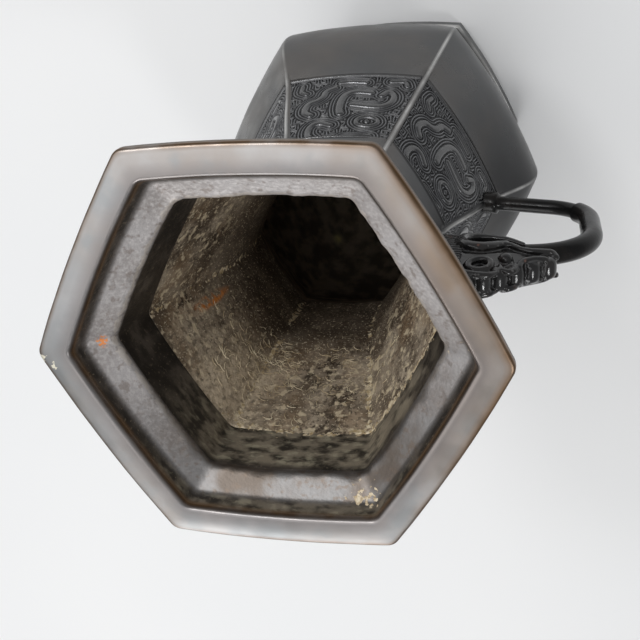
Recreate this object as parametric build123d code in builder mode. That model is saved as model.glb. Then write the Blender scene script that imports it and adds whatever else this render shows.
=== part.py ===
"""Bronze hu vessel: hexagonal sections cast apart and lapped together, a trapped base plate and two beast handles."""
import os
from math import cos, radians, sin

from build123d import *

os.makedirs("parts", exist_ok=True)

# Heights of the four cast sections, from the floor up, in millimetres
foot_height = 44.0
belly_height = 134.0
neck_height = 58.2
mouth_height = 25.8

# Cast wall and the lap joints between the sections
wall = 4.6
lap_height = 6.0
solder_gap = 0.35
seat_gap = 0.1

# Mouth: reach is always the distance from the vessel's axis to a corner of its hexagon
lip_reach = 57.0
lip_thickness = 4.0
lip_corner_round = 3.0
lip_edge_round = 1.4
lip_inner_reach = 48.8
first_wall_drop = 5.5
ledge_outer_reach = 47.0
ledge_drop = 4.0
ledge_inner_reach = 40.8
mouth_foot_reach = 38.2
mouth_spigot_wall = 1.6
mouth_swell = 0.02

# Neck, inside sizes, with heights above the belly's top
throat_height = 20.0
throat_reach = 26.6
waist_height = 5.0
waist_reach = 25.4
neck_root_reach = 25.8
flare_height = 36.0
flare_reach = 31.0
neck_spigot_wall = 1.9
neck_swell = 0.03

# Belly, outside sizes, with heights above the foot's top
hip_reach = 39.5
lower_belly_height = 15.0
lower_belly_reach = 49.4
upper_belly_height = 34.0
upper_belly_reach = 58.9
girth_height = 53.0
girth_reach = 61.9
turn_height = 69.0
turn_reach = 58.7
border_height = 86.0
border_reach = 48.6
shoulder_height = 106.0
shoulder_reach = 40.2
nape_height = 122.0
nape_reach = 33.6
belly_spigot_wall = 1.9
belly_swell = 0.04

# Ornament panels sunk into the six shoulder faces, between strips along the corners
panel_recess = 0.6
corner_strip = 1.9

# Dragon in each panel, in ribbons: across from the middle of the face, and heights above the panel's border
ribbon_width = 2.6
ribbon_bend = 2.4
body_across = 2.2
body_top = 22.4
body_bottom = 10.2
body_back = -7.0
arm_front = -1.8
arm_height = 18.0
arm_back = -14.4
arm_bottom = 10.6
tail_across = 13.6
tail_top = 22.0
tail_turn = 14.6
tail_inner = 8.4
tail_bottom = 7.2
horn_across = 10.2
horn_top = 33.6
horn_bottom = 27.6
horn_front = 3.6
brow_front = -2.0
brow_back = -9.6
brow_height = 33.4
dragon_eye_across = -8.0
dragon_eye_height = 26.7
dragon_eye_length = 8.6
dragon_eye_width = 6.4
dragon_eye_ribbon = 1.7
dragon_pupil = 1.9

# Foot, outside sizes, and the ledge that carries the base plate
flare_foot_reach = 45.5
flare_middle_height = 33.0
flare_middle_reach = 41.2
upper_step_height = 22.0
upper_step_reach = 48.5
lower_step_height = 12.0
lower_step_reach = 53.0
step_round = 1.2
base_thickness = 3.0
base_ledge = 3.0
foot_swell = 0.03

# Core-pin plugs in the belly's wall
plug_size = 5.0
plug_height = 24.0

# Handle loop, on the plane through two opposite corners, with heights above the belly's top
loop_axis_height = 11.0
loop_reach = 77.2
loop_top_radius = 19.0
loop_straight = 13.0
loop_bend_radius = 16.0
loop_slope = 16.0
loop_thick = 6.4
loop_thin = 4.8
loop_socket_depth = 13.0
collar_diameter = 7.4
seat_sink = 1.8
collar_length = 4.4
tenon_diameter = 4.0
tenon_depth = 1.9
spur_radius = 1.4
spur_angle = 22.0

# Beast head, with lengths along the corner's radius and heights above the loop's axis
jaw_reach = 58.0
snout_reach = 66.4
crown_reach = 42.0
jaw_width = 10.6
jaw_drop = 5.0
head_width = 12.4
snout_width = 7.0
crest_width = 5.4
crown_rise = 27.5
snout_rise = 8.6
snout_floor = 3.6
roll_count = 5
roll_start = 48.0
roll_radius = 2.5
roll_proud = 1.0
cheek_share = 0.45
eye_reach = 46.4
eye_rise = 18.5
eye_spread = 4.2
eye_lean = 72.0
eye_radius = 2.7
eye_ring = 0.8
eye_ball = 1.5
cheek_reach = 52.3
cheek_rise = 14.0
cheek_spread = 4.2
cheek_radius = 2.3
lip_roll = 1.5
lip_front_reach = 61.0
lip_back_reach = 38.5
lip_bend = 3.2
head_tenon_rise = 15.0
head_tenon_width = 7.0
head_tenon_height = 12.0
head_tenon_depth = 3.6

# Heights and reaches that follow from the sizes above
wall_reach = wall / cos(radians(30))
belly_top = foot_height + belly_height
neck_top = belly_top + neck_height
mouth_top = neck_top + mouth_height
lip_bottom = mouth_top - lip_thickness
ledge_top = mouth_top - first_wall_drop
ledge_bottom = ledge_top - ledge_drop
collar_bottom = ledge_bottom - wall
mouth_seam = neck_top - lap_height
neck_spigot_bottom = belly_top - lap_height
belly_spigot_bottom = foot_height - lap_height
base_bottom = belly_spigot_bottom - base_thickness
neck_outer_root_reach = neck_root_reach + wall_reach
mouth_spigot_reach = mouth_foot_reach + mouth_spigot_wall / cos(radians(30))
neck_spigot_reach = neck_root_reach + neck_spigot_wall / cos(radians(30))
belly_spigot_reach = hip_reach - wall_reach + belly_spigot_wall / cos(radians(30))
second_wall_slope = (ledge_inner_reach - mouth_foot_reach) / (ledge_bottom - neck_top)
mouth_seam_reach = mouth_foot_reach + wall_reach - second_wall_slope * lap_height
loop_axis = belly_top + loop_axis_height
tenon_height = belly_top + head_tenon_rise
tenon_end = throat_reach + wall_reach - head_tenon_depth

# Stations of the outside of neck and belly, from the lowest up: height, reach and swell
neck_outside = [
    (belly_top, neck_outer_root_reach, neck_swell),
    (belly_top + waist_height, waist_reach + wall_reach, neck_swell),
    (belly_top + throat_height, throat_reach + wall_reach, neck_swell),
    (belly_top + flare_height, flare_reach + wall_reach, neck_swell),
    (mouth_seam, mouth_seam_reach, mouth_swell),
]
belly_outside = [
    (foot_height, hip_reach, foot_swell),
    (foot_height + lower_belly_height, lower_belly_reach, belly_swell),
    (foot_height + upper_belly_height, upper_belly_reach, belly_swell),
    (foot_height + girth_height, girth_reach, belly_swell),
    (foot_height + turn_height, turn_reach, belly_swell),
    (foot_height + border_height, border_reach, belly_swell),
    (foot_height + shoulder_height, shoulder_reach, belly_swell),
    (foot_height + nape_height, nape_reach, belly_swell),
    (belly_top, neck_outer_root_reach, neck_swell),
]


def hexagon(reach, swell):
    """A hexagon with one corner on +X, whose sides swell outwards by a share of its reach."""
    with BuildSketch() as section:
        with BuildLine():
            for corner in range(6):
                start = Vector(reach, 0).rotate(Axis.Z, 60 * corner)
                middle = Vector(reach * (cos(radians(30)) + swell), 0).rotate(Axis.Z, 60 * corner + 30)
                end = Vector(reach, 0).rotate(Axis.Z, 60 * corner + 60)
                ThreePointArc(start, middle, end)
        make_face()
    return section.sketch


def hexagonal(stations, ruled=False):
    """A solid lofted through hexagons at the given stations."""
    with BuildPart() as body:
        for height, reach, swell in stations:
            with BuildSketch(Plane.XY.offset(height)):
                add(hexagon(reach, swell))
        loft(ruled=ruled)
    return body.part


def inset(stations, amount):
    """The same stations with every reach drawn in by an amount."""
    return [(height, reach - amount, swell) for height, reach, swell in stations]


# Mouth rim: flat lip, collar and tapering wall, opened by the stepped inside and the lap for the neck
with BuildPart() as mouth_rim:
    with BuildSketch(Plane.XY.offset(lip_bottom)):
        add(hexagon(lip_reach, mouth_swell))
    extrude(amount=lip_thickness)
    fillet(mouth_rim.edges().filter_by(Axis.Z), lip_corner_round)
    fillet(mouth_rim.faces().sort_by(Axis.Z)[-1].edges(), lip_edge_round)
    fillet(mouth_rim.faces().sort_by(Axis.Z)[0].edges(), lip_edge_round)
    with BuildSketch(Plane.XY.offset(collar_bottom)):
        add(hexagon(ledge_outer_reach + wall_reach, mouth_swell))
    extrude(amount=lip_bottom - collar_bottom)
    outer_wall = [
        (mouth_seam, mouth_seam_reach, mouth_swell),
        (collar_bottom, ledge_inner_reach + wall_reach, mouth_swell),
    ]
    add(hexagonal(outer_wall, ruled=True))
    stepped_inside = [
        (neck_top, mouth_foot_reach, mouth_swell),
        (ledge_bottom, ledge_inner_reach, mouth_swell),
        (ledge_top, ledge_outer_reach, mouth_swell),
        (mouth_top, lip_inner_reach, mouth_swell),
    ]
    add(hexagonal(stepped_inside, ruled=True), mode=Mode.SUBTRACT)
    with BuildSketch(Plane.XY.offset(mouth_seam)):
        add(hexagon(mouth_spigot_reach + solder_gap, mouth_swell))
    extrude(amount=lap_height, mode=Mode.SUBTRACT)
mouth_rim.part.label = "mouth_rim"
export_step(mouth_rim.part, "parts/mouth_rim.step")

# Neck: a concave flare outside, a straight taper to the throat inside, a spigot at each end,
# and a blind mortise in each of two opposite corners for a beast head's tenon
with BuildPart() as neck:
    add(hexagonal(neck_outside))
    with BuildSketch(Plane.XY.offset(mouth_seam)):
        add(hexagon(mouth_spigot_reach, mouth_swell))
    extrude(amount=lap_height)
    with BuildSketch(Plane.XY.offset(neck_spigot_bottom)):
        add(hexagon(neck_spigot_reach, neck_swell))
    extrude(amount=lap_height)
    neck_inside = [
        (neck_spigot_bottom, neck_root_reach, neck_swell),
        (belly_top, neck_root_reach, neck_swell),
        (belly_top + waist_height, waist_reach, neck_swell),
        (belly_top + throat_height, throat_reach, neck_swell),
        (neck_top, mouth_foot_reach, mouth_swell),
    ]
    add(hexagonal(neck_inside, ruled=True), mode=Mode.SUBTRACT)
    for turn in (0, 180):
        with Locations(Location((0, 0, tenon_height), (0, 0, turn))):
            with Locations((tenon_end - seat_gap, 0, 0)):
                Box(
                    lip_reach,
                    head_tenon_width + 2 * seat_gap,
                    head_tenon_height + 2 * seat_gap,
                    align=(Align.MIN, Align.CENTER, Align.CENTER),
                    mode=Mode.SUBTRACT,
                )
neck.part.label = "neck"
export_step(neck.part, "parts/neck.step")

# Line of the loops on the corner plane, as reach and height: over the top arc, down, and back to the shoulder
top_centre = (loop_reach - loop_top_radius, loop_axis - loop_top_radius)
bend_centre = (loop_reach - loop_bend_radius, loop_axis - loop_top_radius - loop_straight)
bend_angle = 90 - loop_slope
run_start_reach = bend_centre[0] + loop_bend_radius * cos(radians(bend_angle))
run_start_height = bend_centre[1] - loop_bend_radius * sin(radians(bend_angle))

# The run goes on to a seat sunk into the ridge, which is taken as straight between border and shoulder
ridge_slope = (shoulder_reach - border_reach) / (shoulder_height - border_height)
ridge_at_start = border_reach + ridge_slope * (run_start_height - foot_height - border_height)
ridge_closing = cos(radians(loop_slope)) - ridge_slope * sin(radians(loop_slope))
run_length = (run_start_reach - ridge_at_start) / ridge_closing + seat_sink
seat_reach = run_start_reach - run_length * cos(radians(loop_slope))
seat_height = run_start_height - run_length * sin(radians(loop_slope))


def loop_seat(side):
    """Plane of the seat of a loop's foot on the side of +X or -X, facing into the wall."""
    return Plane(
        origin=(side * seat_reach, 0, seat_height),
        x_dir=(0, side, 0),
        z_dir=(-side * cos(radians(loop_slope)), 0, -sin(radians(loop_slope))),
    )


# Belly: narrow shoulder, plain band, full girth and a taper to the hip, with a socket above and a spigot below
with BuildPart() as belly_casting:
    add(hexagonal(belly_outside))
    with BuildSketch(Plane.XY.offset(belly_spigot_bottom)):
        add(hexagon(belly_spigot_reach, foot_swell))
    extrude(amount=lap_height)
    add(hexagonal(inset(belly_outside, wall_reach)), mode=Mode.SUBTRACT)
    with BuildSketch(Plane.XY.offset(belly_spigot_bottom)):
        add(hexagon(hip_reach - wall_reach, foot_swell))
    extrude(amount=lap_height, mode=Mode.SUBTRACT)
    with BuildSketch(Plane.XY.offset(neck_spigot_bottom)):
        add(hexagon(neck_spigot_reach + solder_gap, neck_swell))
    extrude(amount=lap_height, mode=Mode.SUBTRACT)

# Field of one ornament panel: a wedge that leaves a strip at each corner, down to a face along the shoulder's.
# The dragon's ribbons, drawn on a plane through the axis that faces the panel, are left standing in it.
panel_stations = [
    (border_height, border_reach),
    (shoulder_height, shoulder_reach),
    (nape_height, nape_reach),
]
panel_front = Plane(
    origin=(0, 0, foot_height + border_height),
    x_dir=(-sin(radians(30)), cos(radians(30)), 0),
    z_dir=(cos(radians(30)), sin(radians(30)), 0),
)
ribbon_lines = [
    [(body_across, body_top), (body_across, body_bottom), (body_back, body_bottom)],
    [(arm_front, arm_height), (arm_back, arm_height), (arm_back, arm_bottom)],
    [(tail_across, tail_top), (tail_across, tail_turn), (tail_inner, tail_turn), (tail_inner, tail_bottom)],
    [(horn_across, horn_top), (horn_across, horn_bottom), (horn_front, horn_bottom)],
]
with BuildPart() as panel_field:
    for height, reach in panel_stations:
        with BuildSketch(Plane.XY.offset(foot_height + height).rotated((0, 0, 30))):
            with Locations((reach, 0)):
                Rectangle(reach, reach - 2 * corner_strip)
    loft(ruled=True)
    with BuildSketch(panel_front):
        for line in ribbon_lines:
            with BuildLine():
                FilletPolyline(*line, radius=ribbon_bend)
            trace(line_width=ribbon_width)
        with BuildLine():
            Line((brow_front, brow_height), (brow_back, brow_height))
        trace(line_width=ribbon_width)
        with Locations((dragon_eye_across, dragon_eye_height)):
            Ellipse(dragon_eye_length / 2, dragon_eye_width / 2)
            Ellipse(
                dragon_eye_length / 2 - dragon_eye_ribbon,
                dragon_eye_width / 2 - dragon_eye_ribbon,
                mode=Mode.SUBTRACT,
            )
            Circle(dragon_pupil / 2)
    extrude(amount=2 * border_reach, mode=Mode.SUBTRACT)
    add(hexagonal(inset(belly_outside, panel_recess / cos(radians(30)))), mode=Mode.SUBTRACT)

# Pin holes through the lower belly, one in each face
with BuildPart() as pin_holes:
    with Locations((0, 0, foot_height + plug_height)):
        with PolarLocations(girth_reach * cos(radians(30)), 6, start_angle=30):
            Box(girth_reach, plug_size, plug_size)

with BuildPart() as belly:
    add(belly_casting.part)
    with PolarLocations(0, 6):
        add(panel_field.part, mode=Mode.SUBTRACT)
    add(pin_holes.part, mode=Mode.SUBTRACT)
    for side in (1, -1):
        with BuildSketch(loop_seat(side)):
            Circle(tenon_diameter / 2 + seat_gap)
        extrude(amount=tenon_depth + seat_gap, mode=Mode.SUBTRACT)
        with BuildSketch(loop_seat(side)):
            Circle(collar_diameter / 2 + seat_gap)
        extrude(amount=-collar_diameter, mode=Mode.SUBTRACT)
belly.part.label = "belly"
export_step(belly.part, "parts/belly.step")

# Core-pin plugs: square bronze plugs that fill the pin holes flush with both faces of the wall
with BuildPart() as core_plugs:
    add(belly_casting.part)
    add(pin_holes.part, mode=Mode.INTERSECT)
core_plugs.part.label = "core_plugs"
export_step(core_plugs.part, "parts/core_plugs.step")

# Foot: a flare on two steps, hollow below, with a socket above for the belly and a ledge for the base plate
with BuildPart() as foot:
    with BuildSketch(Plane.XY):
        add(hexagon(lower_step_reach, foot_swell))
    extrude(amount=lower_step_height)
    fillet(foot.faces().sort_by(Axis.Z)[-1].edges(), step_round)
    with BuildSketch(Plane.XY.offset(lower_step_height)):
        add(hexagon(upper_step_reach, foot_swell))
    extrude(amount=upper_step_height - lower_step_height)
    fillet(foot.faces().sort_by(Axis.Z)[-1].edges(), step_round)
    foot_flare = [
        (upper_step_height, flare_foot_reach, foot_swell),
        (flare_middle_height, flare_middle_reach, foot_swell),
        (foot_height, hip_reach, foot_swell),
    ]
    add(hexagonal(foot_flare))
    foot_hollow = [
        (0, lower_step_reach - wall_reach, foot_swell),
        (upper_step_height, flare_foot_reach - wall_reach, foot_swell),
        (base_bottom, belly_spigot_reach - base_ledge, foot_swell),
    ]
    add(hexagonal(foot_hollow, ruled=True), mode=Mode.SUBTRACT)
    with BuildSketch(Plane.XY.offset(base_bottom)):
        add(hexagon(belly_spigot_reach + solder_gap, foot_swell))
    extrude(amount=foot_height - base_bottom, mode=Mode.SUBTRACT)
foot.part.label = "foot"
export_step(foot.part, "parts/foot.step")

# Base plate: dropped into the foot's socket, on its ledge, and held down by the belly's spigot
with BuildPart() as base_plate:
    with BuildSketch(Plane.XY.offset(base_bottom)):
        add(hexagon(belly_spigot_reach, foot_swell))
    extrude(amount=base_thickness)
base_plate.part.label = "base_plate"
export_step(base_plate.part, "parts/base_plate.step")

# Solder rings in the three laps: mouth on neck, neck in belly, belly in foot
laps = {
    "mouth_solder": (mouth_seam, mouth_spigot_reach, mouth_swell),
    "neck_solder": (neck_spigot_bottom, neck_spigot_reach, neck_swell),
    "foot_solder": (belly_spigot_bottom, belly_spigot_reach, foot_swell),
}
for name, (height, reach, swell) in laps.items():
    with BuildPart() as solder:
        with BuildSketch(Plane.XY.offset(height)):
            add(hexagon(reach + solder_gap, swell))
            add(hexagon(reach, swell), mode=Mode.SUBTRACT)
        extrude(amount=lap_height)
    solder.part.label = name
    export_step(solder.part, f"parts/{name}.step")

# Loop: thick from the jaws to half way round the lower bend, thin from there to a collar and tenon on the ridge
with BuildPart() as right_loop:
    with BuildLine(Plane.XZ) as thick_line:
        Line((jaw_reach - loop_socket_depth, loop_axis), (top_centre[0], loop_axis))
        CenterArc(top_centre, loop_top_radius, 90, -90)
        Line((loop_reach, top_centre[1]), (loop_reach, bend_centre[1]))
        CenterArc(bend_centre, loop_bend_radius, 0, -bend_angle / 2)
    with BuildSketch(Plane.YZ.offset(jaw_reach - loop_socket_depth)):
        with Locations((0, loop_axis)):
            Circle(loop_thick / 2)
    sweep(path=thick_line.line)
    with BuildLine(Plane.XZ) as thin_line:
        CenterArc(bend_centre, loop_bend_radius, -bend_angle / 2, -bend_angle / 2)
        Line((run_start_reach, run_start_height), (seat_reach, seat_height))
    with BuildSketch(Plane(thin_line.line @ 0, z_dir=thin_line.line % 0)):
        Circle(loop_thin / 2)
    sweep(path=thin_line.line)
    with BuildLine(Plane.XZ) as spur_line:
        CenterArc(
            bend_centre,
            loop_bend_radius + loop_thick / 2 - spur_radius,
            -bend_angle / 2,
            -spur_angle,
        )
    with BuildSketch(Plane(spur_line.line @ 0, z_dir=spur_line.line % 0)):
        Circle(spur_radius)
    sweep(path=spur_line.line)
    with Locations(spur_line.line @ 1):
        Sphere(spur_radius)
    with BuildSketch(loop_seat(1)):
        Circle(collar_diameter / 2)
    extrude(amount=-collar_length)
    with BuildSketch(loop_seat(1)):
        Circle(tenon_diameter / 2)
    extrude(amount=tenon_depth)
right_loop.part.label = "right_loop"
export_step(right_loop.part, "parts/right_loop.step")

# Beast head: skull and snout lofted along the corner's radius, a jaw round the loop's end, and its cast features
head_floor = loop_axis + snout_floor
jaw_bottom = loop_axis - jaw_drop
head_stations = [
    (waist_reach, head_width, crown_rise),
    (crown_reach, head_width, crown_rise),
    (snout_reach, snout_width, snout_rise),
]
with BuildPart() as right_beast_head:
    for reach, width, rise in head_stations:
        crest = loop_axis + rise
        cheek = head_floor + (crest - head_floor) * cheek_share
        with BuildSketch(Plane.YZ.offset(reach)):
            with BuildLine():
                Polyline(
                    (-width / 2, head_floor),
                    (width / 2, head_floor),
                    (width / 2, cheek),
                    (crest_width / 2, crest),
                    (-crest_width / 2, crest),
                    (-width / 2, cheek),
                    close=True,
                )
            make_face()
    loft(ruled=True)
    with BuildSketch(Plane.XY.offset(jaw_bottom)):
        with Locations(((waist_reach + jaw_reach) / 2, 0)):
            Rectangle(jaw_reach - waist_reach, jaw_width)
    extrude(amount=head_floor - jaw_bottom)
    roll_step = (snout_reach - roll_radius - roll_start) / (roll_count - 1)
    crest_fall = (crown_rise - snout_rise) / (snout_reach - crown_reach)
    for roll in range(roll_count):
        roll_reach = roll_start + roll * roll_step
        roll_top = loop_axis + crown_rise - crest_fall * (roll_reach - crown_reach) + roll_proud
        with Locations((roll_reach, 0, roll_top - roll_radius)):
            Cylinder(roll_radius, crest_width, rotation=(90, 0, 0))
    for side in (1, -1):
        with Locations(Location((eye_reach, side * eye_spread, loop_axis + eye_rise), (-side * eye_lean, 0, 0))):
            Torus(eye_radius, eye_ring)
            Sphere(eye_ball)
        with Locations((cheek_reach, side * cheek_spread, loop_axis + cheek_rise)):
            Sphere(cheek_radius)
        with BuildLine(Plane.XZ.offset(-side * jaw_width / 2)) as lip_line:
            FilletPolyline(
                (lip_front_reach, head_floor + lip_roll),
                (lip_back_reach, head_floor),
                (lip_back_reach, jaw_bottom + lip_roll),
                (jaw_reach - lip_roll, jaw_bottom + lip_roll),
                radius=lip_bend,
            )
        with BuildSketch(Plane(lip_line.line @ 0, z_dir=lip_line.line % 0)):
            Circle(lip_roll)
        sweep(path=lip_line.line)
    add(hexagonal(inset(neck_outside, -seat_gap)), mode=Mode.SUBTRACT)
    with Locations((tenon_end, 0, tenon_height)):
        Box(
            head_tenon_depth + wall,
            head_tenon_width,
            head_tenon_height,
            align=(Align.MIN, Align.CENTER, Align.CENTER),
        )
    with BuildSketch(Plane.YZ.offset(jaw_reach - loop_socket_depth)):
        with Locations((0, loop_axis)):
            Circle(loop_thick / 2 + seat_gap)
    extrude(amount=snout_reach, mode=Mode.SUBTRACT)
right_beast_head.part.label = "right_beast_head"
export_step(right_beast_head.part, "parts/right_beast_head.step")

# The left handle is the right one turned half round the vessel's axis
left_beast_head = right_beast_head.part.rotate(Axis.Z, 180)
left_beast_head.label = "left_beast_head"
export_step(left_beast_head, "parts/left_beast_head.step")
left_loop = right_loop.part.rotate(Axis.Z, 180)
left_loop.label = "left_loop"
export_step(left_loop, "parts/left_loop.step")
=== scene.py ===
"""Bronze hu vessel: hexagonal castings, shoulder panels in relief, beast heads and loops, on a pale floor."""

import math

import bpy
import numpy as np
from mathutils import Matrix, Vector, noise


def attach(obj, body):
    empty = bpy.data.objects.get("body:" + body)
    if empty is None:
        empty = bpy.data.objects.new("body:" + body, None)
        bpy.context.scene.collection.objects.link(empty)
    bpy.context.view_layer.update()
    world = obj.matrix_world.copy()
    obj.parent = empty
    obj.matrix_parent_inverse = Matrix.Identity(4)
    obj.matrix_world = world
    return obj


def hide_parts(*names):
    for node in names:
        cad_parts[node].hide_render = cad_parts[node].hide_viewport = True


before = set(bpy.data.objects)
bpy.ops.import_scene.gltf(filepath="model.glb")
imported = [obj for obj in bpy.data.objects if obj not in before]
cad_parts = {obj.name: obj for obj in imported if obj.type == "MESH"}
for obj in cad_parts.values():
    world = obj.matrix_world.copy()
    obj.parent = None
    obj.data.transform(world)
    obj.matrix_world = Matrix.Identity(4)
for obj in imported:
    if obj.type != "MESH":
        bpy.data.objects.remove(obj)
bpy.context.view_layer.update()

# Foot: a hexagonal stand cast in bronze, a short flare on two square steps, open and hollow below.
# The belly's spigot is soldered into its top. Its grey-black patina is rubbed pale along the steps' edges.
# All sizes are in millimetres, and reach is the distance from the axis to a corner.


def curve_reach(stations, heights):
    """Reach at the given heights on a smooth curve through (height, reach) stations."""
    height, reach = np.array(stations, float).T
    gap, count = np.diff(height), len(height)
    system, pull = np.eye(count), np.zeros(count)
    for i in range(1, count - 1):
        system[i, i - 1:i + 2] = gap[i - 1], 2 * (gap[i - 1] + gap[i]), gap[i]
        pull[i] = 6 * ((reach[i + 1] - reach[i]) / gap[i] - (reach[i] - reach[i - 1]) / gap[i - 1])
    bend = np.linalg.solve(system, pull)
    i = np.clip(np.searchsorted(height, heights) - 1, 0, count - 2)
    over, g = heights - height[i], gap[i]
    low = reach[i] / g - bend[i] * g / 6
    high = reach[i + 1] / g - bend[i + 1] * g / 6
    return (bend[i] * (g - over) ** 3 + bend[i + 1] * over**3) / (6 * g) + low * (g - over) + high * over


def rounded(start, tip, end, t):
    """Points at shares t of a curve that rounds off a tip."""
    return (1 - t) ** 2 * start + 2 * t * (1 - t) * tip + t * t * end


def section_line(corners, step):
    """A closed section line through (reach, height, round) corners, in short steps.
    Each corner is eased by its round, which takes up no more than half_run of the lines beside it."""
    half_run = 0.48
    eased = []
    for i, (reach, height, ease) in enumerate(corners):
        here = np.array((reach, height))
        ends = []
        for other in (corners[i - 1], corners[(i + 1) % len(corners)]):
            run = np.array(other[:2]) - here
            length = np.linalg.norm(run)
            ends.append(here + run / length * min(ease, half_run * length))
        for t in np.linspace(0, 1, 6) if ease else (0.5,):
            eased.append(rounded(ends[0], here, ends[1], t))
    line = []
    for here, after in zip(eased, eased[1:] + eased[:1]):
        parts = max(1, math.ceil(np.linalg.norm(after - here) / step))
        line += [here + (after - here) * part / parts for part in range(parts)]
    return np.array(line)


def hexagon_rings(line, swell, corner, near=(), middle=20):
    """Rings of points round the hexagon, one for each (reach, height) of a section line.
    Sides swell by a share of the reach, corners are eased by a radius, near adds distances from each corner."""
    reach, height = line[:, :1], line[:, 1:]
    ease = np.broadcast_to(np.reshape(corner, (-1, 1)), reach.shape) * math.tan(math.radians(30))

    def side(turn, along):
        start, way, out = (math.radians(60 * turn + more) for more in (0, 120, 30))
        proud = 4 * along * (1 - along / reach) * np.reshape(swell, (-1, 1))
        x = reach * math.cos(start) + along * math.cos(way) + proud * math.cos(out)
        y = reach * math.sin(start) + along * math.sin(way) + proud * math.sin(out)
        return np.stack((x, y), -1)

    inset = near[-1] if near else ease
    share = np.linspace(0, 1, middle + 2)[1:-1]
    spots = [ease, *(0 * reach + gap for gap in near), inset + (reach - 2 * inset) * share]
    spots = np.hstack(spots + [reach - gap for gap in near[::-1]])
    t = np.linspace(0, 1, 6, endpoint=False)[:, None]
    columns = []
    for turn in range(6):
        angle = math.radians(60 * turn)
        tip = reach[..., None] * np.array((math.cos(angle), math.sin(angle)))
        columns += [rounded(side(turn - 1, reach - ease), tip, side(turn, ease), t), side(turn, spots)]
    flat = np.concatenate(columns, 1)
    return np.concatenate((flat, np.broadcast_to(height[..., None], flat.shape[:2] + (1,))), -1)


def unit(values):
    """Values held between 0 and 1."""
    return np.clip(values, 0, 1)


def new_object(name, data):
    """An object in the scene."""
    thing = bpy.data.objects.new(name, data)
    bpy.context.scene.collection.objects.link(thing)
    return thing


def mesh_piece(name, points, faces, **marks):
    """A smooth mesh object from points in millimetres, with point marks that its finish reads."""
    mesh = bpy.data.meshes.new(name)
    mesh.from_pydata((np.asarray(points) * 0.001).tolist(), [], faces)
    mesh.update()
    mesh.shade_smooth()
    for mark, values in marks.items():
        attribute = mesh.attributes.new(mark, "FLOAT", "POINT")
        attribute.data.foreach_set("value", np.ravel(values).astype(np.float32))
    return new_object(name, mesh)


def cast_piece(name, rings, uneven, **marks):
    """A closed casting from rings of points, drawn in here and there by up to a depth as cast metal is."""
    along = np.roll(rings, -1, 1) - np.roll(rings, 1, 1)
    across = np.roll(rings, -1, 0) - np.roll(rings, 1, 0)
    area = np.cross(along, across)
    facing = np.sign(np.sum(rings * area))
    out = facing * area / (np.linalg.norm(area, axis=-1, keepdims=True) + 1e-9)
    flat = rings.reshape(-1, 3)
    waves = [noise.fractal(Vector(point) / 16, 1, 2, 3) for point in flat]
    points = flat - out.reshape(-1, 3) * (uneven * unit(0.5 + 0.6 * np.array(waves)))[:, None]
    count, around = rings.shape[:2]
    index = np.arange(count * around).reshape(count, around)
    quads = [index, np.roll(index, -1, 1), np.roll(np.roll(index, -1, 1), -1, 0), np.roll(index, -1, 0)]
    quads = np.stack(quads if facing > 0 else quads[::-1], -1).reshape(-1, 4).tolist()
    marks = {mark: np.broadcast_to(values, (count, around)) for mark, values in marks.items()}
    return mesh_piece(name, points, quads, **marks)


def set_inputs(tree, node, inputs):
    """Puts values or other nodes' outputs on a node's inputs."""
    for socket, given in inputs.items():
        if isinstance(given, bpy.types.NodeSocket):
            tree.links.new(given, node.inputs[socket])
        else:
            node.inputs[socket].default_value = given


def add_node(tree, kind, inputs, **settings):
    """A new node with its settings and inputs."""
    node = tree.nodes.new(kind)
    for setting, given in settings.items():
        setattr(node, setting, given)
    set_inputs(tree, node, inputs)
    return node


def made(tree, kind, inputs, out=0, **settings):
    """One output of a new node."""
    return add_node(tree, kind, inputs, **settings).outputs[out]


def cloud(tree, scale, detail, stretch=(1, 1, 1), warp=0.0):
    """Noise over the object, from 0 to 1, with so many patches to the metre."""
    place = made(tree, "ShaderNodeTexCoord", {}, "Object")
    place = made(tree, "ShaderNodeMapping", {"Vector": place, "Scale": stretch}, "Vector")
    settings = {"Vector": place, "Scale": scale, "Detail": detail, "Distortion": warp}
    return made(tree, "ShaderNodeTexNoise", settings, "Fac")


def share_of(tree, given):
    """A share for a node to use, given as one of three things: the name of a point mark, the numbers of
    patches (scale, detail, and the ranges that between takes), or a value or output, which stays as it is."""
    if isinstance(given, str):
        return made(tree, "ShaderNodeAttribute", {}, "Fac", attribute_name=given)
    if isinstance(given, tuple):
        return between(tree, cloud(tree, *given[:2]), *given[2:])
    return given


def between(tree, given, low, high, to_low=0.0, to_high=1.0):
    """A share brought smoothly from one range into another."""
    settings = {"From Min": low, "From Max": high, "To Min": to_low, "To Max": to_high}
    settings["Value"] = share_of(tree, given)
    return made(tree, "ShaderNodeMapRange", settings, "Result", interpolation_type="SMOOTHSTEP")


def reckon(tree, operation, *given):
    """A sum done by a node on shares."""
    inputs = {place: share_of(tree, one) for place, one in enumerate(given)}
    return made(tree, "ShaderNodeMath", inputs, operation=operation)


def times(tree, first, second):
    return reckon(tree, "MULTIPLY", first, second)


def most(tree, first, second):
    return reckon(tree, "MAXIMUM", first, second)


def coats(tree, colour, *layers):
    """A colour with others laid over it in turn, each given with its share."""
    for share, over in layers:
        under, upper = ((*one, 1) if isinstance(one, tuple) else one for one in (colour, over))
        mixed = {0: share_of(tree, share), 6: under, 7: upper}
        colour = made(tree, "ShaderNodeMix", mixed, 2, data_type="RGBA")
    return colour


def crust(tree, share, scale):
    """Ragged patches that cover more of the surface the larger the share."""
    patchy = reckon(tree, "ADD", cloud(tree, scale, 8), times(tree, share, 0.32))
    return times(tree, between(tree, patchy, 0.7, 0.75), between(tree, share, 0.02, 0.15))


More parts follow.
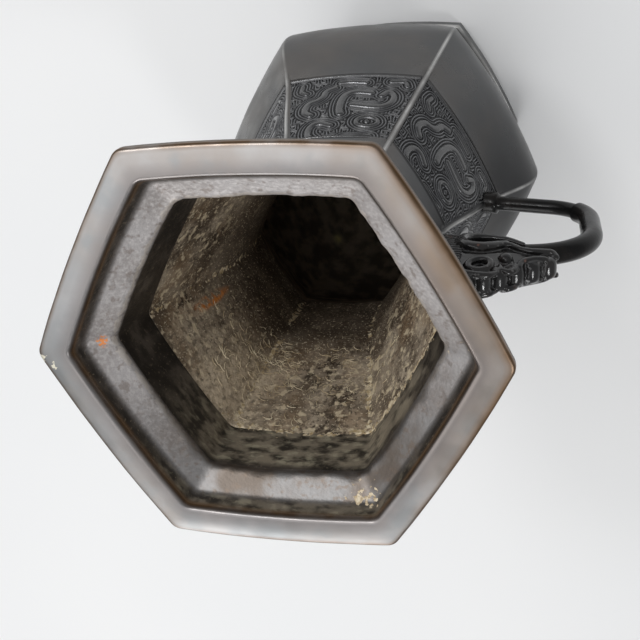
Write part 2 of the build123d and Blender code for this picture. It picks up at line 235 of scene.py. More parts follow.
def grain(tree, height, depth):
    """Fine relief for a shader, as deep as given in metres."""
    return made(tree, "ShaderNodeBump", {"Height": height, "Strength": 1.0, "Distance": depth}, "Normal")


def new_finish(name):
    """A material, its tree and its shader."""
    material = bpy.data.materials.new(name)
    material.use_nodes = True
    tree = material.node_tree
    return material, tree, tree.nodes["Principled BSDF"]


def clouded(tree, dark, warm):
    """The body's dark patina with its broad warmer clouds."""
    return coats(tree, dark, (between(tree, cloud(tree, 28, 5, warp=0.6), 0.35, 0.7), warm))


def dark_patina(name, dark, warm, rubbed_sheen):
    """Dark bronze patina with warmer clouds, painted shade where marked, pale rubbed wear that also serves as
    painted highlight and sheen, and a dull brown inside.
    """
    material, tree, shader = new_finish(name)
    outer = coats(
        tree,
        clouded(tree, dark, warm),
        ((1100, 3, 0.56, 0.75, 0.0, 0.4), warm),
        # Painted shade, darkest towards the right handle.
        ("toned", (0.035, 0.035, 0.036)),
        # Rubbed wear; on the belly it also carries painted highlight along the ridges and painted sheen on the
        # left faces.
        (times(tree, "rub", (55, 5, 0.35, 0.62, 0.25, 1.0)), rubbed_sheen),
    )
    dull = coats(tree, (0.16, 0.125, 0.09), ((150, 7, 0.38, 0.62), (0.4, 0.32, 0.24)))
    dull = coats(tree, dull, ("spot", (1.0, 0.9, 0.45)))
    set_inputs(tree, shader, {
        "Base Color": coats(tree, outer, ("inside", dull)),
        "Metallic": between(tree, "inside", 0, 1, 0.8, 0.1),
        "Specular Tint": (0.62, 0.62, 0.62, 1),
        "Roughness": most(tree, (70, 5, 0.3, 0.7, 0.26, 0.36), times(tree, "inside", 0.7)),
        "Normal": grain(tree, cloud(tree, 1500, 4), 0.00002),
    })
    return material


foot_height, hip_reach = 44.0, 39.5
foot_swell, wall_reach = 0.03, 5.31
lower_step, upper_step = (53.0, 12.0), (48.5, 22.0)
foot_flare = [(22.0, 45.5), (33.0, 41.2), (foot_height, hip_reach)]
socket_reach, socket_floor, ledge_reach = 36.73, 35.0, 33.38
flare_heights = np.arange(23.5, 43.5, 1.0)
foot_corners = [
    (lower_step[0] - wall_reach, 0, 0.8),
    (lower_step[0], 0, 0.8),
    (*lower_step, 1.4),
    (upper_step[0], lower_step[1], 0.8),
    (*upper_step, 1.4),
    (foot_flare[0][1], upper_step[1], 0.9),
    *((reach, height, 0) for reach, height in zip(curve_reach(foot_flare, flare_heights), flare_heights)),
    (hip_reach, foot_height, 0.25),
    (socket_reach, foot_height, 0.2),
    (socket_reach, socket_floor, 0.2),
    (ledge_reach, socket_floor, 0.5),
    (foot_flare[0][1] - wall_reach, upper_step[1], 2.0),
]
foot_line = section_line(foot_corners, 1.2)
foot_edge = np.minimum(*(np.hypot(*(foot_line - step).T) for step in (lower_step, upper_step)))
foot_rings = hexagon_rings(foot_line, foot_swell, corner=0.9)
foot = cast_piece("foot_casting", foot_rings, uneven=0.16, rub=unit(1.6 - foot_edge)[:, None])
patina_dark, patina_warm, patina_rubbed_sheen = (0.118, 0.12, 0.122), (0.148, 0.139, 0.132), (0.62, 0.615, 0.6)
body_patina = dark_patina("body_patina", patina_dark, patina_warm, patina_rubbed_sheen)
foot.data.materials.append(body_patina)
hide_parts("foot")
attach(foot, "root")

# Base plate: a cast plate dropped on the foot's ledge and held down by the belly's spigot.
# It is seen only from below and far down the inside, so it keeps its shape, dull and dusty.
plate_finish, tree, shader = new_finish("base_plate_dull")
set_inputs(tree, shader, {
    "Base Color": coats(tree, (0.05, 0.044, 0.038), ((90, 5, 0.4, 0.7), (0.13, 0.11, 0.085))),
    "Roughness": share_of(tree, (300, 3, 0.3, 0.7, 0.5, 0.75)),
    "Metallic": 0.5,
    "Normal": grain(tree, cloud(tree, 700, 4), 0.0001),
})


def redress(node, finish):
    """Gives a CAD node that keeps its shape a better finish."""
    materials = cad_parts[node].data.materials
    materials.clear()
    materials.append(finish)


redress("base_plate", plate_finish)

# Belly: the largest casting, hexagonal with swelling sides, a full girth and a concave shoulder.
# Its six shoulder faces are sunk for ornament between beaded strips along the corners; a plain band lies below.
# Ridges get rubbed wear and a painted highlight, faces near the right handle painted shade, upper left faces
# painted sheen.


def fade(distance, size):
    """A share that is full at a place and gone a little way from it."""
    return np.exp(-((distance / size) ** 2))


belly_top, belly_swell = 178.0, 0.037
belly_outside = [
    (foot_height, hip_reach),
    (59.0, 49.4),
    (78.0, 58.9),
    (97.0, 61.9),
    (113.0, 58.7),
    (130.0, 48.6),
    (150.0, 40.2),
    (166.0, 33.6),
    (belly_top, 31.11),
]
panel_bottom, panel_top, corner_strip, sunk, ridge_radius = 130.0, 166.0, 1.25, 1.1, 1.65
bead_heights, groove_depth = (0.3, 0.26, 0.14, 0), 0.22
neck_socket_reach, neck_socket_floor = 28.34, 172.0
spigot_reach, spigot_bottom = 36.38, 38.0
pale_spot, pale_size = (-24.9, -38.7, 62.0), 1.9
step_rows = [edge + shift for edge in (panel_bottom, panel_top) for shift in (-0.12, 0.12)]
belly_heights = np.array(sorted([*np.arange(foot_height + 1, belly_top, 1.0), *step_rows]))
inner_heights = np.arange(171.5, 44.5, -1.5)
belly_line = np.array([
    (hip_reach, foot_height),
    *zip(curve_reach(belly_outside, belly_heights), belly_heights),
    (belly_outside[-1][1] - 0.3, belly_top - 0.05),
    (neck_socket_reach, belly_top - 0.05),
    (neck_socket_reach, neck_socket_floor),
    *zip(curve_reach(belly_outside, inner_heights) - wall_reach, inner_heights),
    (hip_reach - wall_reach, foot_height),
    (hip_reach - wall_reach, spigot_bottom),
    (spigot_reach, spigot_bottom),
    (spigot_reach, foot_height + 0.05),
    (hip_reach - 0.3, foot_height + 0.05),
])
row, level = np.arange(len(belly_line))[:, None], belly_line[:, 1:]
belly_swells = np.interp(
    level, (foot_height, 59, panel_top, belly_top), (foot_swell, belly_swell, belly_swell, foot_swell)
)
strip_gaps = (1.0, corner_strip - 0.1, corner_strip + 0.1)
belly_rings = hexagon_rings(belly_line, belly_swells, ridge_radius, near=strip_gaps, middle=26)
outside_rows = row <= len(belly_heights)
inner_rows = (row > len(belly_heights) + 3) & (level < neck_socket_floor)
side_columns = belly_rings.shape[1] // 6
in_side = np.arange(belly_rings.shape[1]) % side_columns
from_ridge = abs(in_side - 3)
from_axis = np.linalg.norm(belly_rings[..., :2], axis=-1, keepdims=True)
sunk_rows = outside_rows & (level > panel_bottom) & (level < panel_top)
sunk_columns = (in_side >= 6 + len(strip_gaps)) & (in_side < side_columns - len(strip_gaps) + 1)
belly_rings[..., :2] *= 1 - sunk * (sunk_rows & sunk_columns)[..., None] / from_axis
beaded = outside_rows & (level > panel_bottom - 4) & (level < panel_top + 3)
bead = np.interp(from_ridge, (0, 1, 2, 3), bead_heights)
groove = np.where((in_side >= 7) & (in_side <= 8) | (in_side >= side_columns - 2), -groove_depth, 0)
belly_rings[..., :2] *= 1 + (beaded * (bead + groove))[..., None] / from_axis
handle_angle = np.degrees(np.arctan2(abs(belly_rings[..., 1]), belly_rings[..., 0]))
# Painted highlight along the corner ridges, laid in with the rubbed wear and fading below the girth.
ridge_rub_and_highlight = np.interp(from_ridge, (0, 3), (1, 0)) * np.interp(level, (50, 96, 112), (0.3, 0.5, 1))
plain_band = np.interp(level, (72, 104, panel_bottom - 3, panel_bottom), (0, 1, 1, 0))
# Painted sheen: the plain band's left faces are made paler.
left_side = unit((handle_angle - 116) / 6) * plain_band
left_painted_sheen = 0.27 * left_side * (handle_angle > 120.5)
belly = cast_piece(
    "belly_casting",
    belly_rings,
    uneven=0.2,
    rub=outside_rows * np.maximum(ridge_rub_and_highlight * (1 - 0.55 * left_side), left_painted_sheen),
    # Painted shade: the patina is darker towards the right handle.
    toned=outside_rows * np.clip(0.9 - handle_angle / 55, 0, 0.85),
    inside=inner_rows * 1.0,
    spot=inner_rows * fade(np.linalg.norm(belly_rings - pale_spot, axis=-1), pale_size),
)
belly.data.materials.append(body_patina)
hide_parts("belly")
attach(belly, "root")

# Shoulder panels: six fields of cast relief, one in each sunk shoulder face, all reading the same way round.
# A kui dragon of rounded ribbons with one eye lies over a ground of fine squared spirals, the thunder pattern.
# Two lines run round each ribbon. Tops are smooth and dark, line crests carry a painted highlight, and grooves
# are black.
ribbons = [
    (1.25, [(11.4, 152.4), (13.4, 150.8), (13.9, 148.2), (13.0, 145.6)]
        + [(10.6, 144.2), (9.0, 142.0), (8.4, 138.8), (5.8, 137.0)]),
    (1.15, [(8.4, 165.4), (10.1, 163.2), (10.4, 160.0), (9.2, 157.8), (6.6, 157.3), (3.6, 158.6)]),
    (1.35, [(1.4, 152.4), (2.2, 149.4), (2.2, 144.4), (1.0, 141.2), (-2.0, 139.7), (-7.0, 140.3)]),
    (1.2, [(-1.7, 147.5), (-7.0, 148.5), (-11.6, 148.3), (-14.4, 145.6)]
        + [(-14.8, 141.6), (-12.8, 139.5), (-10.9, 141.9)]),
    (1.2, [(-2.0, 165.7), (-6.0, 165.4), (-9.6, 164.4)]),
    (0.9, [(17.6, 134.2), (17.4, 137.2), (15.4, 139.0)]),
    (0.9, [(-18.6, 135.6), (-17.4, 133.4), (-13.0, 133.6)]),
    (0.8, [(-4.6, 134.4), (1.2, 133.8), (4.4, 134.2)]),
]
eye_centre, eye_size, eye_ribbon, pupil = (-8.0, 156.7), (3.5, 2.4), 0.85, 0.95
line_pitch, line_depth, ribbon_rise, ground_level = 1.02, 0.44, 0.42, -0.44
slope_stretch, line_start, ribbon_round, tile = 1.08, 0.25, 1.05, 4 * line_pitch
frame_middle, frame_half, frame_rise, frame_zone = 0.75, 0.5, 0.4, 1.35
edge_drop, edge_run, panel_depth, rows, columns = 0.9, 0.25, 2.2, 305, 313
panel_heights = np.linspace(panel_bottom + 0.02, panel_top - 0.02, rows)
panel_reach = curve_reach(belly_outside, panel_heights)[:, None]
half_width = panel_reach / 2 - corner_strip + 0.02
across = half_width * np.linspace(-1, 1, columns)
upward = np.broadcast_to(panel_heights[:, None], across.shape)


def smooth_path(points, count):
    """A rounded path through points, in short equal shares of each run."""
    points = np.array(points, float)
    padded = np.vstack((2 * points[0] - points[1], points, 2 * points[-1] - points[-2]))
    t = np.linspace(0, 1, count, endpoint=False)[:, None]
    runs = []
    for a, b, c, d in zip(padded, padded[1:], padded[2:], padded[3:]):
        square, cube = 2 * a - 5 * b + 4 * c - d, 3 * b - a - 3 * c + d
        runs.append(0.5 * (2 * b + (c - a) * t + square * t**2 + cube * t**3))
    return np.vstack(runs + [points[-1:]])


def gap_to(path, width):
    """Distance of every point of the panel from a ribbon's edge, along the shoulder's slope."""
    nearest = np.full(across.shape, 99.0)
    for start, end in zip(path, path[1:]):
        run = (end - start) * (1, slope_stretch)
        over = np.stack((across - start[0], (upward - start[1]) * slope_stretch), -1)
        share = unit(over @ run / (run @ run))
        nearest = np.minimum(nearest, np.linalg.norm(over - share[..., None] * run, axis=-1))
    return nearest - width


gaps = np.hypot(across - eye_centre[0], (upward - eye_centre[1]) * slope_stretch) - pupil
around_eye = np.linspace(0, 2 * np.pi, 33)
eye_path = np.array(eye_centre) + np.array(eye_size) * np.column_stack((np.cos(around_eye), np.sin(around_eye)))
gaps = np.minimum(gaps, gap_to(eye_path, eye_ribbon))
for width, points in ribbons:
    gaps = np.minimum(gaps, gap_to(smooth_path(points, 4), width))

tile_up = ((upward - panel_bottom) * slope_stretch + 0.4 * np.sin(0.45 * across + 1.3)) / tile
tile_row = np.floor(tile_up)
tile_across = (across + 0.45 * np.sin(0.5 * upward + 0.2 * across)) / tile + 0.5 * (tile_row % 2)
tile_column = np.floor(tile_across)
right = (tile_across - tile_column - 0.5) * np.where((tile_row + tile_column) % 2 > 0, 1, -1)
above = tile_up - tile_row - 0.5
square = np.maximum(np.maximum(abs(right), abs(above)), 1e-6)
upright = np.where(right > 0, above, 4 * square - above)
level_run = np.where(above > 0, 2 * square - right, 6 * square + right)
turned = np.where(abs(right) >= abs(above), upright, level_run) / (8 * square)

past_outline = gaps - line_start - 2 * line_pitch
outlined = past_outline < 0
ground = np.where(outlined, gaps - line_start, tile * square - turned * line_pitch)
lines = (0.5 - 0.5 * np.cos(2 * np.pi * ground / line_pitch)) ** 0.75
lines *= np.where(outlined, 1, unit(past_outline / 0.3))


def roll_top(share):
    """Height of a rounded roll, from its edge at 0 to its top at 1."""
    return np.sqrt(1 - (1 - share) ** 2)


ribbon_top = (ribbon_rise + line_depth) * roll_top(unit(-gaps / ribbon_round)) - line_depth
relief = np.where(gaps < 0, ribbon_top, line_depth * (lines - 1))
to_end = np.minimum(upward - panel_bottom, panel_top - upward) * slope_stretch
border = (line_depth + frame_rise) * roll_top(unit(1 - abs(to_end - frame_middle) / frame_half)) - line_depth
relief = np.where(to_end < frame_zone, border, relief)
to_edge = np.minimum(half_width - abs(across), to_end)
height = ground_level + relief - edge_drop * unit(1 - to_edge / edge_run)
proud = 4 * (0.25 - (across / panel_reach) ** 2) * belly_swell * panel_reach
field = np.stack((panel_reach * math.cos(math.radians(30)) + proud, across, upward), -1)
lie = np.cross(np.gradient(field, axis=1), np.gradient(field, axis=0))
lie /= np.linalg.norm(lie, axis=-1, keepdims=True)
field = field + height[..., None] * lie
index = np.arange(rows * columns).reshape(rows, columns)
field_faces = (index[:-1, :-1], index[:-1, 1:], index[1:, 1:], index[1:, :-1])
field_faces = np.stack(field_faces, -1).reshape(-1, 4).tolist()
rim = [*index[0, :-1], *index[:-1, -1], *index[-1, :0:-1], *index[:0:-1, 0]]
field_faces += [(int(after), int(here), rows * columns) for here, after in zip(rim, rim[1:] + rim[:1])]
back = field[rows // 2, columns // 2] - panel_depth * lie[rows // 2, columns // 2]
field_points = np.vstack((field.reshape(-1, 3), back))
raised = np.append(unit((relief + line_depth) / (ribbon_rise + line_depth)), 0)

relief_finish, tree, shader = new_finish("shoulder_relief")
# Painted highlight: paler colour on the crests of the ground lines.
crest = times(tree, between(tree, "raised", 0.4, 0.5, 0.0, 0.55), between(tree, "raised", 0.54, 0.66, 1.0, 0.0))
colour = coats(
    tree,
    (0.09, 0.09, 0.092),
    ((60, 5, 0.35, 0.7), (0.12, 0.119, 0.119)),
    ((420, 4, 0.5, 0.7, 0.0, 0.5), (0.17, 0.17, 0.172)),
    (crest, (0.22, 0.225, 0.24)),
    (between(tree, "raised", 0.6, 1.0, 0.0, 0.5), (0.115, 0.115, 0.116)),
    (between(tree, "raised", 0.05, 0.45, 0.9, 0.0), (0.014, 0.014, 0.015)),
)
set_inputs(tree, shader, {
    "Base Color": colour,
    "Metallic": 0.7,
    "Roughness": between(tree, "raised", 0.2, 0.9, 0.42, 0.17),
    "Normal": grain(tree, cloud(tree, 1600, 3), 0.00005),
})
for turn in range(6):
    angle = math.radians(60 * turn + 30)
    spin = np.array(((math.cos(angle), -math.sin(angle), 0), (math.sin(angle), math.cos(angle), 0), (0, 0, 1)))
    panel = mesh_piece(f"shoulder_panel_{turn + 1}", field_points @ spin.T, field_faces, raised=raised)
    panel.data.materials.append(relief_finish)
    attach(panel, "root")

# Core plugs: square bronze plugs that close the holes left by the core's pins, filed flush with the belly.
# They keep their shape and show as slightly warmer squares low on each face.
plug_finish = dark_patina("core_plug_patina", (0.12, 0.112, 0.104), (0.16, 0.148, 0.134), (0.3, 0.26, 0.2))
redress("core_plugs", plug_finish)

# Neck: a slender casting that flares to the mouth, with a spigot at each end for the solder laps.
# Outside it is dark; inside it is brown, unpolished, crusted with cream earth below the mouth, and painted
# darker down the throat and on the upper left wall as shade.
# Directions round the axis are in degrees, with the right handle at 0 and the picture's lower side at -90.
neck_seam, neck_top, neck_swell, neck_inner_ease = 230.2, 236.2, 0.028, 1.9
neck_outside = [(belly_top, 31.11), (183.0, 30.71), (198.0, 31.91), (214.0, 36.31), (neck_seam, 42.55)]
neck_spigot_reach, mouth_spigot_reach, mouth_foot_reach = 27.99, 40.05, 38.2
throat, waist, root_reach = (26.6, 198.0), (25.4, 183.0), 25.8
neck_heights = np.arange(179.0, 230.0, 1.0)
neck_corners = [
    (neck_outside[0][1], belly_top, 0.25),
    *((reach, height, 0) for reach, height in zip(curve_reach(neck_outside, neck_heights), neck_heights)),
    (neck_outside[-1][1], neck_seam, 0.2),
    (mouth_spigot_reach, neck_seam, 0),
    (mouth_spigot_reach, neck_top, 0),
    (mouth_foot_reach, neck_top, 0.5),
    (*throat, 2.4),
    (*waist, 4.0),
    (root_reach, belly_top, 1.0),
    (root_reach, neck_socket_floor, 0.3),
    (neck_spigot_reach, neck_socket_floor, 0),
    (neck_spigot_reach, belly_top, 0),
]


def directions(rings):
    """Direction of every point round the axis, in degrees."""
    return np.degrees(np.arctan2(rings[..., 1], rings[..., 0]))


neck_line = section_line(neck_corners, 0.8)
level = neck_line[:, 1:]
limit_heights = (neck_socket_floor, waist[1], throat[1], neck_top)
neck_inside = neck_line[:, :1] < np.interp(level, limit_heights, (26.5, 26.4, 28, 38.6))
neck_rings = hexagon_rings(neck_line, neck_swell, np.where(neck_inside, neck_inner_ease, 1.0), middle=34)
way = directions(neck_rings)
from_corner = abs((way + 30) % 60 - 30) * np.radians(1) * np.linalg.norm(neck_rings[..., :2], axis=-1)
corner_earth = np.choose((np.round(way / 60) % 6).astype(int), (1.0, 0.2, 0.2, 0.75, 0.85, 1.0))
fold = unit(1.25 - from_corner / 1.2) * corner_earth
seam_right = np.clip(1.6 - abs((way + 34 + 180) % 360 - 180) / 62, 0.1, 1.25)
seam_lower = np.clip(1.3 - abs(way + 108) / 40, 0, 0.9)
seam = unit(1.15 - (neck_top - level) / 2.8) * np.maximum(seam_right, seam_lower)
neck = cast_piece(
    "neck_casting",
    neck_rings,
    uneven=0.22,
    inside=neck_inside * 1.0,
    fold=np.maximum(fold, seam) * neck_inside,
    rust=fade(way + 170, 3.2) * fade(level - 214, 8) * neck_inside,
    # Painted shade: darker down the throat and on the upper left wall, which faces away from the light.
    deep=unit((216 - level) / 17 + 0.35 * (np.cos(np.radians(way - 165)) - 0.3)) * neck_inside,
    dust=fade(way + 130, 22) * unit((level - 205) / 16) * neck_inside,
    rub=unit(1 - from_corner / 1.2) * 0.6 * ~neck_inside,
)

neck_finish, tree, shader = new_finish("neck_patina")
outer = coats(tree, clouded(tree, patina_dark, patina_warm), ("rub", (0.3, 0.295, 0.285)))
pits = times(tree, (700, 8, 0.48, 0.6), (60, 4, 0.35, 0.65, 0.15, 1.0))
earth = crust(tree, times(tree, "fold", (75, 3, 0.36, 0.6, 0.35, 1.0)), 760)
straw_earth = coats(tree, (0.45, 0.34, 0.19), ((900, 4, 0.35, 0.65), (0.78, 0.68, 0.5)))
inner = coats(
    tree,
    (0.12, 0.09, 0.063),
    ((95, 9, 0.36, 0.64), (0.42, 0.35, 0.265)),
    ((85, 4, 0.45, 0.65, 0.0, 0.4), (0.3, 0.2, 0.115)),
    (pits, (0.05, 0.037, 0.027)),
    ((420, 8, 0.54, 0.64, 0.0, 0.9), (0.64, 0.54, 0.38)),
    # Painted shade down the throat and on the upper left wall.
    (times(tree, "deep", (130, 6, 0.3, 0.7, 0.75, 1.0)), (0.075, 0.056, 0.04)),
    ((1700, 4, 0.6, 0.67, 0.0, 0.9), (0.68, 0.59, 0.44)),
    (times(tree, "dust", (500, 8, 0.4, 0.6, 0.4, 1.0)), (0.6, 0.5, 0.37)),
    (times(tree, between(tree, "rust", 0.15, 0.7), (380, 7, 0.42, 0.6)), (0.55, 0.2, 0.05)),
    (earth, straw_earth),
)
lumps = times(tree, most(tree, cloud(tree, 650, 7), earth), between(tree, "inside", 0, 1, 0.1, 1))
set_inputs(tree, shader, {
    "Base Color": coats(tree, outer, ("inside", inner)),
    "Metallic": between(tree, "inside", 0, 1, 0.8, 0.15),
    "Specular Tint": (0.5, 0.5, 0.5, 1),
    "Roughness": most(tree, (70, 5, 0.3, 0.7, 0.26, 0.36), times(tree, "inside", 0.5)),
    "Normal": grain(tree, lumps, 0.0004),
})
neck.data.materials.append(neck_finish)
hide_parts("neck")
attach(neck, "root")

# Root fibres: fine straw-coloured threads of earth and roots, dried on to the lower walls inside the neck.
# They lie flat in all directions, thickest half way down the picture's lower side, so nodes scatter them
# over a bed that follows that wall.
bed_heights = np.linspace(201.0, 235.4, 30)
bed_reach = np.interp(bed_heights, (throat[1], neck_top), (throat[0], mouth_foot_reach)) - 0.02
bed_line = np.column_stack((bed_reach, bed_heights))
bed_rings = hexagon_rings(bed_line, neck_swell, neck_inner_ease, middle=34)
bed_way = directions(bed_rings[0])
bed_rings = bed_rings[:, (bed_way > -176) & (bed_way < -24)]
bed_count, bed_around = bed_rings.shape[:2]
index = np.arange(bed_count * bed_around).reshape(bed_count, bed_around)
bed_faces = (index[:-1, :-1], index[1:, :-1], index[1:, 1:], index[:-1, 1:])
bed_faces = np.stack(bed_faces, -1).reshape(-1, 4).tolist()
clumps = [noise.fractal(Vector(point) / 9, 1, 2, 3) for point in bed_rings.reshape(-1, 3)]
thickness = np.clip(0.4 + 1.1 * np.array(clumps), 0.04, 1.3) * fade(directions(bed_rings).ravel() + 104, 40)
thickness *= np.repeat(0.25 + fade(bed_heights - 214, 11), bed_around)
fibre_bed = mesh_piece("fibre_bed", bed_rings.reshape(-1, 3), bed_faces, thick=thickness)


def shape_tree(name, **inputs):
    """A node tree that makes a shape, with named inputs of the given kinds, and what they bring in."""
    tree = bpy.data.node_groups.new(name, "GeometryNodeTree")
    for socket, kind in {"Geometry": "Geometry", **inputs, "Material": "Material"}.items():
        tree.interface.new_socket(socket, in_out="INPUT", socket_type=f"NodeSocket{kind}")
    tree.interface.new_socket("Geometry", in_out="OUTPUT", socket_type="NodeSocketGeometry")
    return tree, tree.nodes.new("NodeGroupInput").outputs


def end_shape(tree, shape, material):
    """Gives a node tree's shape its material and sends it out."""
    shape = made(tree, "GeometryNodeSetMaterial", {"Geometry": shape, "Material": material})
    add_node(tree, "NodeGroupOutput", {"Geometry": shape})


def final_mesh(piece):
    """A plain mesh of an object with its modifiers applied."""
    bpy.context.view_layer.update()
    return bpy.data.meshes.new_from_object(piece.evaluated_get(bpy.context.evaluated_depsgraph_get()))


def node_shape(piece, tree, **inputs):
    """The plain mesh that a node tree makes of an object, with the tree's named inputs set."""
    modifier = piece.modifiers.new(tree.name, "NODES")
    modifier.node_group = tree
    for socket in tree.interface.items_tree:
        if socket.in_out == "INPUT" and socket.name in inputs:
            modifier[socket.identifier] = inputs[socket.name]
    piece.update_tag()
    shape = final_mesh(piece)
    piece.modifiers.remove(modifier)
    return shape


scatter, given = shape_tree("root_fibres", Density="Float", Length="Float", Thickness="Float", Seed="Int")


def varied(low, high):
    """A random value for each fibre."""
    limits = {2: low, 3: high, "Seed": given["Seed"]}
    return made(scatter, "FunctionNodeRandomValue", limits, 1, data_type="FLOAT")


thick = made(scatter, "GeometryNodeInputNamedAttribute", {"Name": "thick"}, "Attribute", data_type="FLOAT")
spread = {"Mesh": given["Geometry"], "Density": times(scatter, thick, given["Density"]), "Seed": given["Seed"]}
spots = add_node(scatter, "GeometryNodeDistributePointsOnFaces", spread).outputs
arc = {"Resolution": 5, "Start": (-0.5, 0, 0), "Middle": (0.05, 0.34, 0.1), "End": (0.5, 0.02, 0)}
thread = made(scatter, "GeometryNodeCurveQuadraticBezier", arc)
profile = made(scatter, "GeometryNodeCurvePrimitiveCircle", {"Resolution": 4, "Radius": given["Thickness"]})
drawn = {"Curve": thread, "Profile Curve": profile, "Fill Caps": True}
thread = made(scatter, "GeometryNodeCurveToMesh", drawn)
spin = {"Axis": (0, 0, 1), "Angle": varied(0.0, 6.283)}
spin = made(scatter, "FunctionNodeAxisAngleToRotation", spin)
turned = {"Rotation": spots["Rotation"], "Rotate By": spin}
turned = made(scatter, "FunctionNodeRotateRotation", turned, rotation_space="LOCAL")
long = times(scatter, varied(0.35, 1.25), given["Length"])
laid = {"Points": spots["Points"], "Instance": thread, "Rotation": turned, "Scale": long}
laid = made(scatter, "GeometryNodeInstanceOnPoints", laid)
end_shape(scatter, made(scatter, "GeometryNodeRealizeInstances", {"Geometry": laid}), given["Material"])

straw, tree, shader = new_finish("dried_straw")
set_inputs(tree, shader, {
    "Base Color": coats(tree, (0.4, 0.3, 0.17), ((240, 3, 0.35, 0.65), (0.8, 0.7, 0.5))),
    "Roughness": share_of(tree, (600, 2, 0.3, 0.7, 0.7, 0.9)),
})
fibre_sizes = {"Density": 900000.0, "Length": 0.0022, "Thickness": 0.036}
fibre_mesh = node_shape(fibre_bed, scatter, **fibre_sizes, Seed=7, Material=straw)
bpy.data.objects.remove(fibre_bed)
fibres = new_object("root_fibres", fibre_mesh)
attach(fibres, "root")

# Mouth rim: a flat lip, a sloping ledge and a tapering wall, one casting slipped over the neck's upper spigot.
# The lip and ledge are satin metal under a thin brown skin, darkened in places as painted shade. The two walls
# are near black, with earth in the seams, and are painted paler brown as light on the picture's lower side. The
# filed inner edge of the ledge wavers a little.
lip_reach, lip_top, lip_bottom, lip_inner_reach, lip_crown_reach = 57.0, 262.0, 258.0, 48.8, 53.6
ledge_outer, ledge_inner = (47.0, 256.5), (40.8, 252.5)
collar_bottom, lap_gap, filed_depth = 247.9, 0.35, 0.55
mouth_corners = [
    (neck_outside[-1][1], neck_seam, 0.2),
    (ledge_inner[0] + wall_reach, collar_bottom, 1.2),
    (ledge_outer[0] + wall_reach, collar_bottom, 1.2),
    (ledge_outer[0] + wall_reach, lip_bottom, 0.9),
    (lip_reach, lip_bottom, 1.4),
    (lip_reach, lip_top - 0.35, 1.0),
    (lip_crown_reach, lip_top, 6.0),
    (lip_inner_reach, lip_top - 0.1, 1.0),
    (*ledge_outer, 0.9),
    (*ledge_inner, 1.3),
    (mouth_foot_reach, neck_top, 0.5),
    (mouth_spigot_reach + lap_gap, neck_top, 0),
    (mouth_spigot_reach + lap_gap, neck_seam, 0),
]
mouth_line = section_line(mouth_corners, 0.55)
reach, level = mouth_line[:, :1], mouth_line[:, 1:]
inner_face = reach < np.interp(level, (236, 252, 256, 262), (39, 42, 48.2, 49.4))
inner_face &= reach < lip_inner_reach + 0.3
mouth_ease = np.where(inner_face, 2.4, np.where(level > lip_bottom - 1, 3.0, 1.6))
mouth_rings = hexagon_rings(mouth_line, 0.02, mouth_ease, middle=44)
way = directions(mouth_rings)


def by_corner(corner_reach, corner_level, full, fall):
    """A share that is full at a corner of the mouth's section and falls off over a distance."""
    return unit(full - np.hypot(reach - corner_reach, level - corner_level) / fall)


filed = [noise.fractal(Vector((*point, 0)) / 5, 1, 2, 3) for point in mouth_rings[0, :, :2]]
filed = filed_depth * inner_face * by_corner(*ledge_inner, 1.5, 1.4) * np.array(filed)
mouth_rings[..., :2] *= 1 + (filed / reach)[..., None]


def towards(angle, spread):
    """Share of each point of the mouth that faces a direction, in degrees, falling off over a spread."""
    return unit(1 - abs((way - angle + 180) % 360 - 180) / spread)


def spot_near(place, size):
    """A mark that is strong at a place of the mouth, in millimetres, and gone a little way from it."""
    return 1.4 * fade(np.linalg.norm(mouth_rings - np.array(place), axis=-1), size)


on_lip = unit((level - 259.6) / 1.4) * (reach > 48.2)
outer_wear = by_corner(lip_reach, lip_top - 1.2, 1.5, 1.3)
inner_wear = by_corner(lip_inner_reach - 0.4, lip_top - 1.6, 1.2, 1.1)
seam_earth = unit(1 - (level - neck_top) / 3.2) * np.maximum(1.7 * towards(-32, 48), 1.2 * towards(-85, 50))
corner_earth = unit(1 - abs(level - 255.5) / 3.4) * np.maximum(1.7 * towards(-61, 9), 0.7 * towards(1, 5))
# Painted light: the walls on the picture's lower side are paler brown, as if lit; pale flakes of patina lie
# there too.
light_and_flakes_low = unit((250.5 - level) / 2) * unit(1.5 * towards(-85, 70))
light_and_flakes_high = np.clip((level - 256.4) / 1.2, 0, 0.6) * unit(1.5 * towards(-90, 60))
mouth = cast_piece(
    "mouth_casting",
    mouth_rings,
    uneven=0.12,
    outside=~inner_face * unit((258.4 - level) / 1.2),
    lip=on_lip,
    ledge=inner_face * unit((47.5 - reach) / 1.2) * unit((level - 250.9) / 0.6),
    worn=np.maximum(outer_wear, inner_wear),
    # Pale flecks on the ledge's inner edge: wear and painted highlight.
    bright=by_corner(ledge_inner[0] + 0.2, ledge_inner[1], 1.2, 1.2),
    earth=inner_face * unit(seam_earth + corner_earth),
    tan=inner_face * unit(1 - abs(level - 244) / 9) * towards(-30, 34),
    lower=inner_face * (light_and_flakes_low + light_and_flakes_high),
    # Painted shade: the inner half of the lip is darkened.
    inner_half=on_lip * unit((53.2 - reach) / 3.0),
    # Brown tone and painted shade on the lip's right side.
    tinted=on_lip * towards(22, 55),
    rust_edge=on_lip * unit((reach - 54.2) / 2.4) * unit(1.6 * towards(12, 75)),
    # Cool grey tone and painted shade on the lip's left and lower sides.
    cool=on_lip * np.maximum(towards(172, 65), 0.8 * towards(-95, 55)),
    # Polish and painted shade: the ledge on the picture's lower side is darker and more metallic.
    polished=unit(1.6 * towards(-75, 100)),
    orange=np.maximum(spot_near((-43.0, 0.2, 254.6), 1.3), spot_near((-5.9, -31.9, 237.6), 1.2)),
    chalk=np.maximum(spot_near((-56.0, -1.2, 261.4), 1.2), spot_near((-53.0, -3.4, 261.9), 0.9)),
)

